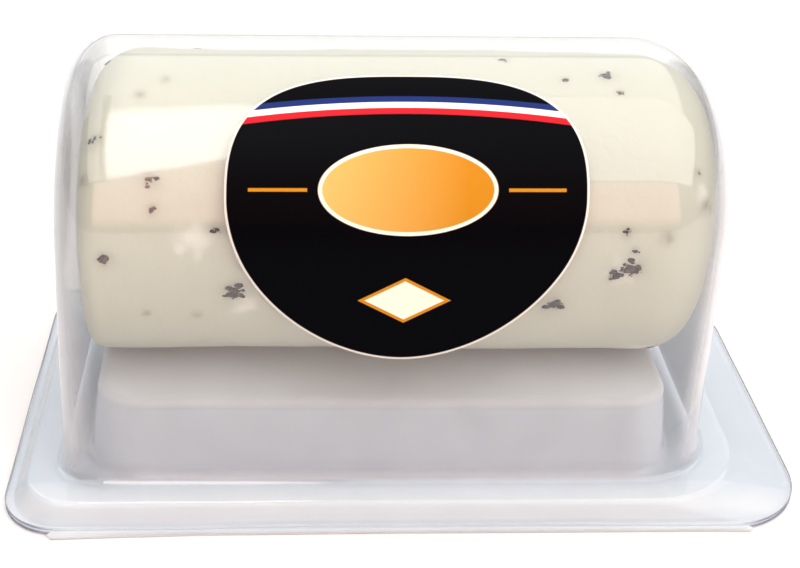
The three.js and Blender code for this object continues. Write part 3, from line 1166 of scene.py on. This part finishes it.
@dataclass(frozen=True)
class CheeseLog:
    """The log: a soft roll with rounded ends, a little thicker towards its right end.

    Each relief holds a height, a wavelength and a seed. The hidden flecks' turns and sizes
    hold the least and the span, and stain_reach its growth with a fleck's size and its least.
    """

    left: float = -45.4
    right: float = 41.2
    radius: float = 21.45
    widening: float = 0.006
    middle_x: float = -2.8
    left_round: EndRound = EndRound(1.5, 3.0, 8.0)
    right_round: EndRound = EndRound(6.0, 10.4, 10.0)
    wave_height: float = 0.12
    wave_rate: float = 0.13
    wave_start: float = 1.0
    rest_z: float = 14.7
    flattening: float = 0.12
    reliefs: tuple = ((0.1, 17, 3), (0.035, 4.5, 5))
    relief_foot: tuple = (1, 4)
    dish: float = 0.5
    dish_relief: tuple = (0.12, 7, 21)
    dish_start: float = 0.97
    dish_rows: int = 14
    end_points: int = 25
    body_points: int = 150
    round_points: int = 241
    hidden_flecks: int = 34
    hidden_turns: tuple = (105, 145)
    hidden_sizes: tuple = (1.4, 1.8)
    stain_share: float = 0.75
    faint_share: float = 0.8
    stain_reach: tuple = (0.48, 0.2)
    smear_share: float = 0.7
    smear_gain: float = 1.5
    smear_start: float = -0.45
    smear_falloff: float = 4.0
    smear_relief: tuple = (0.35, 2.2, 8)

    def place(self, x: np.ndarray, turn: np.ndarray, lift: float = 0.0) -> np.ndarray:
        """Places on the log: a circle about its axis at each x, turned up from its front line.

        The ends are rounded, and the underside is flattened where it rests.

        Args:
            x: place along the pack.
            turn: turn above the front line in radians.
            lift: height above the surface.

        Returns:
            The points.
        """
        up = np.sin(turn)
        even = self.radius + self.widening * (x - self.middle_x)
        ends = self.left_round.drawn_in(x - self.left, up) + self.right_round.drawn_in(self.right - x, up)
        wave = self.wave_height * np.sin(self.wave_rate * x + self.wave_start)
        reach = even + wave - ends + lift
        z = np.maximum(self.rest_z + even + reach * up, self.rest_z + self.flattening)
        return np.stack(np.broadcast_arrays(x, -reach * np.cos(turn), z), -1)

    def flecks(self) -> list[Fleck]:
        """Adds flecks spread over the back and underside to those that show at the front.

        Returns:
            All flecks.
        """
        span = self.right - self.left
        first_turn, turn_span = self.hidden_turns
        least, more = self.hidden_sizes
        spread = [
            Fleck(self.left + span * (i + 1) / (self.hidden_flecks + 1),
                  first_turn + turn_span * ((i * GOLDEN_SHARE) % 1),
                  least + more * ((i * SECOND_SHARE) % 1) ** 2)
            for i in range(self.hidden_flecks)
        ]
        return [*SHOWN_FLECKS, *spread]

    def spot(self, x: np.ndarray, turn: np.ndarray, at_x: float, degrees: float,
             reach: float) -> np.ndarray:
        """A round spot on the log that fades with the square of the distance."""
        off = (turn - math.radians(degrees) + np.pi) % (2 * np.pi) - np.pi
        return np.exp(-((x - at_x) ** 2 + (self.radius * off) ** 2) / reach ** 2)

    def stains(self, x: np.ndarray, turn: np.ndarray) -> np.ndarray:
        """How grey the paste is: the strongest of the spots round the flecks.

        Args:
            x: places along the log.
            turn: turns above the front line in radians.

        Returns:
            A value of 0 to 1 for each place.
        """
        grey = np.zeros(np.broadcast(x, turn).shape)
        growth, least = self.stain_reach
        for fleck in self.flecks():
            share = self.faint_share if fleck.faint else self.stain_share
            spot = self.spot(x, turn, fleck.x, fleck.turn, growth * fleck.size + least)
            grey = np.maximum(grey, share * spot)
        return grey

    def smears(self, rows: np.ndarray, x: np.ndarray, turn: np.ndarray) -> np.ndarray:
        """Where whiter curd shows: round spots whose edges a small relief makes ragged.

        Args:
            rows: the surface's points.
            x: places along the log.
            turn: turns above the front line in radians.

        Returns:
            A value of 0 to 1 for each place.
        """
        white = np.zeros(rows.shape[:2])
        for at_x, degrees, reach in SMEARS:
            white = np.maximum(white, self.spot(x, turn, at_x, degrees, reach))
        height, length, seed = self.smear_relief
        ragged = self.smear_gain * white + height * ripple(rows, length, seed) + self.smear_start
        return self.smear_share * np.clip(ragged, 0, 1) * np.minimum(1, self.smear_falloff * white)

    def end_disc(self, row: np.ndarray, inward: int) -> np.ndarray:
        """Closes one end: the last outline shrunk to its middle and dished inwards by a parabola.

        Args:
            row: the end's outline.
            inward: 1 at the left end and -1 at the right.

        Returns:
            Rows of outlines from the rim to the middle.
        """
        middle = row.mean(0)
        share = np.linspace(self.dish_start, 0, self.dish_rows)[:, None, None]
        disc = middle + (row[None] - middle) * share
        height, length, seed = self.dish_relief
        disc[..., 0] += inward * self.dish * (1 - share[..., 0] ** 2)
        disc[..., 0] += height * ripple(disc, length, seed)
        return disc

    def build(self, material: bpy.types.Material) -> bpy.types.Object:
        """Makes the log's body: its round rows, raised by soft reliefs, and its two ends.

        Args:
            material: its finish.

        Returns:
            The object.
        """
        bend = np.linspace(0, QUARTER, self.end_points)
        near = self.left + self.left_round.top * (1 - np.cos(bend))
        far = self.right - self.right_round.side * (1 - np.cos(bend[::-1]))
        x = np.concatenate([near, np.linspace(near[-1], far[0], self.body_points)[1:-1], far])
        turn = np.linspace(0, 2 * np.pi, self.round_points)[:-1]
        rows = self.place(x[:, None], turn[None])
        relief = sum(height * ripple(rows, length, seed) for height, length, seed in self.reliefs)
        outward = np.stack([0 * turn, -np.cos(turn), np.sin(turn)], -1)[None]
        foot, width = self.relief_foot
        above = rise(rows[..., 2], self.rest_z + foot, width)
        rows = rows + (relief * above)[..., None] * outward
        quiet = np.zeros((self.dish_rows, len(turn)))
        attributes = {
            "stain": np.concatenate([quiet, self.stains(x[:, None], turn[None]), quiet]),
            "smear": np.concatenate([quiet, self.smears(rows, x[:, None], turn[None]), quiet]),
        }
        points = np.concatenate([self.end_disc(rows[0], 1)[::-1], rows, self.end_disc(rows[-1], -1)])
        faces = loft_faces(*points.shape[:2])
        piece = make_piece("cheese_log_body", points, faces, material, attributes)
        return attach(piece, "cheese", "cheese_log")


@dataclass(frozen=True)
class TruffleFlecks:
    """The truffle flecks on a log, each a cluster of uneven crumbs pressed into its surface.

    The two spreads and crumb_growth are shares of the fleck's size.
    """

    cheese: CheeseLog
    seed: int = 4
    fewest: int = 8
    more_by_size: float = 9.0
    spread_along: float = 0.19
    spread_around: float = 0.15
    least_crumb: float = 0.1
    crumb_growth: float = 0.13
    sunk: float = 0.06
    roughness: tuple = (0.7, 1.25)
    flatness: float = 0.55
    stretch: float = 1.3

    def build(self, material: bpy.types.Material) -> bpy.types.Object:
        """Makes all flecks as one joined mesh: small balls made uneven, flattened and turned.

        Args:
            material: their finish.

        Returns:
            The object.
        """
        random = np.random.default_rng(self.seed)
        ball = bmesh.new()
        bmesh.ops.create_icosphere(ball, subdivisions=1, radius=1.0)
        shape = np.array([v.co[:] for v in ball.verts])
        shape_faces = np.array([[v.index for v in f.verts] for f in ball.faces])
        ball.free()
        points, faces = [], []
        for fleck in self.cheese.flecks():
            if fleck.faint:
                continue
            crumbs = self.fewest + int(self.more_by_size * fleck.size)
            along = fleck.x + self.spread_along * fleck.size * random.normal(size=crumbs)
            around = self.spread_around * fleck.size / self.cheese.radius * random.normal(size=crumbs)
            turned = math.radians(fleck.turn) + around
            size = self.least_crumb + self.crumb_growth * fleck.size * random.uniform(0, 1, crumbs) ** 2
            seat = self.cheese.place(along, turned, -self.sunk)
            up = np.stack([0 * turned, -np.cos(turned), np.sin(turned)], -1)
            side = np.stack([0 * turned, np.sin(turned), np.cos(turned)], -1)
            for number in range(crumbs):
                rough = shape * random.uniform(*self.roughness, (len(shape), 1)) * size[number]
                spin = random.uniform(0, np.pi)
                length = rough[:, 0] * math.cos(spin) - rough[:, 1] * math.sin(spin)
                width = rough[:, 0] * math.sin(spin) + rough[:, 1] * math.cos(spin)
                lump = seat[number] + width[:, None] * side[number]
                lump += self.flatness * rough[:, 2:] * up[number]
                lump[:, 0] += self.stretch * length
                faces.append(shape_faces + len(shape) * len(points))
                points.append(lump)
        piece = make_piece("truffle_flecks", np.concatenate(points), np.concatenate(faces), material,
                           smooth=False)
        return attach(piece, "cheese")


@dataclass(frozen=True)
class Label:
    """The sticker on the hood's front: an egg of two half superellipses, the upper one squarer."""

    middle_x: float = -2.6
    widest_down: float = 26.0
    half_width: float = 23.55
    above: float = 17.75
    below: float = 23.15
    roundness_above: float = 2.7
    roundness_below: float = 1.87
    lift: float = 0.06
    thickness: float = 0.16
    round_points: int = 241
    rows: int = 34
    row_crowding: float = 0.9
    hood: Hood = Hood()
    map_span: float = 60.0

    def build(self, material: bpy.types.Material) -> bpy.types.Object:
        """Makes the label as a thin closed skin, its outline shrunk to its middle in rows.

        Args:
            material: its finish.

        Returns:
            The object.
        """
        turn = np.linspace(0, 2 * np.pi, self.round_points)[:-1]
        cosine, sine = np.cos(turn), np.sin(turn)
        power = 2 / np.where(sine > 0, self.roundness_above, self.roundness_below)
        across = self.half_width * np.sign(cosine) * np.abs(cosine) ** power
        up = np.where(sine > 0, self.above, self.below) * np.sign(sine) * np.abs(sine) ** power
        share = (np.linspace(0, 1, self.rows) ** self.row_crowding)[:, None]
        x, y = share * across, share * up
        edge = (1 - share) * np.hypot(across, up)[None]
        layers, places, edges = [], [], []
        for lift, order in ((self.lift + self.thickness, 1), (self.lift, -1)):
            rows = self.hood.on_front(self.middle_x + x, self.widest_down - y, lift)
            layers.append(rows[::order])
            places.append(np.stack([x, y], -1)[::order] / self.map_span + 0.5)
            edges.append(edge[::order])
        points = np.concatenate(layers)
        faces = loft_faces(*points.shape[:2])
        uv = np.concatenate(places).reshape(-1, 2)
        piece = make_piece("label_sticker", points, faces, material, {"edge": np.concatenate(edges)}, uv)
        return attach(piece, "label_film", "label")


def stage_sheet(name: str, corners: tuple, material: bpy.types.Material) -> None:
    """Makes one four-cornered sheet of the studio.

    Args:
        name: its name.
        corners: four places in millimetres, at 0 0, 1 0, 1 1 and 0 1 of its map.
        material: its finish.
    """
    mesh = bpy.data.meshes.new(name)
    mesh.from_pydata([tuple(c * MM for c in corner) for corner in corners], [], [(0, 1, 2, 3)])
    mesh.uv_layers.new(name="panel").data.foreach_set("uv", (0, 0, 1, 0, 1, 1, 0, 1))
    mesh.materials.append(material)
    sheet = bpy.data.objects.new(name, mesh)
    bpy.context.scene.collection.objects.link(sheet)


@dataclass(frozen=True)
class Fade:
    """Shares of a lit panel over which its light fades towards its edges, and what rests there."""

    start: float = 0.1
    end: float = 0.1
    sides: float = 0.1
    rest: float = 0.0


@dataclass(frozen=True)
class Panel:
    """One lit panel: four corners in millimetres, its colour, strength and fading edges.

    Its start edge joins the first two corners and its end edge the last two.
    """

    name: str
    corners: tuple
    hue: Hue
    strength: float
    fade: Fade = Fade()

    def glow(self, tree: Tree) -> Socket:
        """Works out the strength: what rests, plus the other part x a smooth rise from each edge.

        Args:
            tree: the light's node tree.

        Returns:
            Socket of the strength.
        """
        place = add_node(tree, "UVMap", uv_map="panel")
        across, along = (add_node(tree, "SeparateXYZ", place, output=axis) for axis in "XY")
        from_right, from_end = (add_node(tree, "Math", 1.0, way, operation="SUBTRACT")
                                for way in (across, along))
        strength = self.strength * (1 - self.fade.rest)
        for from_edge, share in ((across, self.fade.sides), (from_right, self.fade.sides),
                                 (along, self.fade.start), (from_end, self.fade.end)):
            eased = add_node(tree, "MapRange", from_edge, 0.0, share, 0.0, 1.0,
                             interpolation_type="SMOOTHSTEP")
            strength = add_node(tree, "Math", eased, strength, operation="MULTIPLY")
        return add_node(tree, "Math", strength, self.strength * self.fade.rest, operation="ADD")

    def build(self) -> None:
        """Makes the panel, lit from its own surface."""
        material, tree = new_material(f"{self.name} light")
        add_node(tree, "OutputMaterial", add_node(tree, "Emission", self.hue, self.glow(tree)))
        stage_sheet(self.name, self.corners, material)


def spanned(left: float, right: float, start: tuple, end: tuple) -> tuple:
    """A panel's corners, from left to right at both edges; start and end hold y and z."""
    return (left, *start), (right, *start), (right, *end), (left, *end)


@dataclass(frozen=True)
class Studio:
    """Floor, lights and camera. The camera stands where the photograph was taken from."""

    camera_place: tuple = (-18.65, -177.8, 126.17)
    camera_down: float = 30.24
    camera_yaw: float = 5.67
    camera_roll: float = 3.30
    camera_clip: tuple = (0.01, 20.0)
    focal_pixels: float = 1373.3
    image_width: int = 800
    sensor: float = 36.0
    floor_half: float = 6000.0
    floor_drop: float = 0.02
    sky: float = 0.12
    see_through_layers: int = 24
    panels: tuple = (
        Panel("softbox", ((-352, 12, 2031), (60, 310, 2031), (60, -917, 2031), (-335, -1651, 1167)),
              Hue.LIGHT_WHITE, 6.5, Fade(start=0.3, end=0.04, sides=0.07, rest=0.3)),
        Panel("left fill", spanned(-1400, -340, (320, 2100), (-1750, 1250)),
              Hue.LIGHT_WHITE, 2.1, Fade(start=0.02, end=0.05)),
        Panel("right fill", spanned(50, 3000, (320, 2100), (-1750, 1250)),
              Hue.LIGHT_WHITE, 2.6, Fade(start=0.02, end=0.03, sides=0.02)),
        Panel("ceiling", spanned(-2400, 2400, (0, 2250), (3400, 2900)),
              Hue.LIGHT_WHITE, 2.2, Fade(start=0.01)),
        Panel("back wall", spanned(-2400, 2400, (3400, 10), (3400, 2890)), Hue.LIGHT_WHITE, 1.1),
        Panel("warm wall", spanned(-1250, 2200, (-2300, 60), (-2300, 3600)),
              Hue.LIGHT_WARM, 2.5, Fade(start=0.14, sides=0.14)),
    )

    def build_camera(self) -> None:
        """Places the camera from its place, its downward, sideways and rolling turns."""
        down, yaw, roll = (math.radians(a) for a in (self.camera_down, self.camera_yaw, self.camera_roll))
        ahead = Vector((math.sin(yaw) * math.cos(down), math.cos(yaw) * math.cos(down), -math.sin(down)))
        level = Vector((math.cos(yaw), -math.sin(yaw), 0))
        above = level.cross(ahead)
        right = level * math.cos(roll) + above * math.sin(roll)
        up = above * math.cos(roll) - level * math.sin(roll)
        data = bpy.data.cameras.new("camera")
        data.sensor_fit = "HORIZONTAL"
        data.sensor_width = self.sensor
        data.lens = self.focal_pixels * self.sensor / self.image_width
        data.clip_start, data.clip_end = self.camera_clip
        camera = bpy.data.objects.new("camera", data)
        turn = Matrix((right, up, -ahead)).transposed().to_4x4()
        camera.matrix_world = Matrix.Translation(Vector(self.camera_place) * MM) @ turn
        bpy.context.scene.collection.objects.link(camera)
        bpy.context.scene.camera = camera

    def build_floor(self) -> None:
        """Makes the plain pale floor."""
        half, level = self.floor_half, -self.floor_drop
        corners = spanned(-half, half, (-half, level), (half, level))
        stage_sheet("floor", corners, WhiteBoard().build())

    def build_lights(self) -> None:
        """Makes the dim surround and the lit panels."""
        world = bpy.data.worlds.new("surround")
        world.use_nodes = True
        world.node_tree.nodes.clear()
        sky = add_node(world.node_tree, "Background", (1, 1, 1, 1), self.sky)
        add_node(world.node_tree, "OutputWorld", sky)
        bpy.context.scene.world = world
        for panel in self.panels:
            panel.build()

    def build(self) -> None:
        """Makes all of it, and asks for true colours and enough see-through layers."""
        self.build_camera()
        self.build_floor()
        self.build_lights()
        scene = bpy.context.scene
        scene.view_settings.view_transform = "Standard"
        scene.cycles.transparent_max_bounces = self.see_through_layers


def main() -> None:
    """Builds the studio and the pack, piece by piece."""
    logging.basicConfig(level=logging.INFO, format="%(message)s")
    Studio().build()
    tray, cheese = Tray(), CheeseLog()
    milky = ThermoformedSheet("milky thermoformed APET", Hue.TRAY_HAZE, Hue.TRAY_WEAR_AND_LIGHT, haze=0.4).build()
    clear = ThermoformedSheet("clear thermoformed APET", Hue.HAZE, Hue.HAZE_WEAR_AND_LIGHT, haze=0.03).build()
    tray.build(milky)
    tray.strip(milky)
    cheese.build(CheesePaste().build())
    TruffleFlecks(cheese).build(TruffleCrumb().build())
    Lid().build(clear)
    Label().build(LabelPrint().build())
    log.info("sizes written")


if __name__ == "__main__":
    main()
